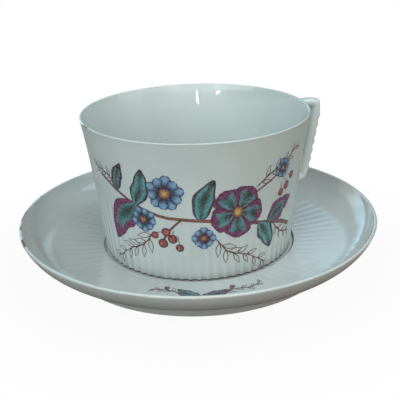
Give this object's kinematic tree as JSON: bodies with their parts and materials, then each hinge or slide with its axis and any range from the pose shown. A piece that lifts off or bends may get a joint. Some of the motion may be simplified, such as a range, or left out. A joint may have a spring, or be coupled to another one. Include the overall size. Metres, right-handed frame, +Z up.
{
  "type": "breakfast cup and saucer",
  "caption": "Fluted porcelain breakfast cup with a squared, scalloped handle, standing in the well of a fluted saucer with a turned-up rim; it holds a hot drink and lifts straight off.",
  "frame": {"origin": "On the common axis of cup and saucer, at the underside of the saucer's foot ring, where the set stands on the table.", "axes": "+Z is up along the common axis and is the shortest extent. +X points to the right of the picture's viewer, who looks along +Y. The handle stands 22.5 degrees from +X towards +Y."},
  "size_m": [0.17, 0.17, 0.0709],
  "materials": {
    "saucer_porcelain": "glossy transparent glaze over grey-white porcelain, a small printed spray and a worn brown-gilt rim line",
    "cup_porcelain": "glossy transparent glaze over grey-white porcelain, a printed flower band and a worn brown-gilt rim line",
    "handle_porcelain": "glossy transparent glaze over grey-white porcelain"
  },
  "bodies": {
    "saucer": {"saucer": "saucer_porcelain"},
    "cup": {"cup_body": "cup_porcelain", "cup_handle": "handle_porcelain"}
  },
  "joints": [
    {"name": "cup_lift", "type": "slide", "parent": "saucer", "child": "cup", "axis": [0, 0, 1], "range_m": [0, 0.12]}
  ]
}
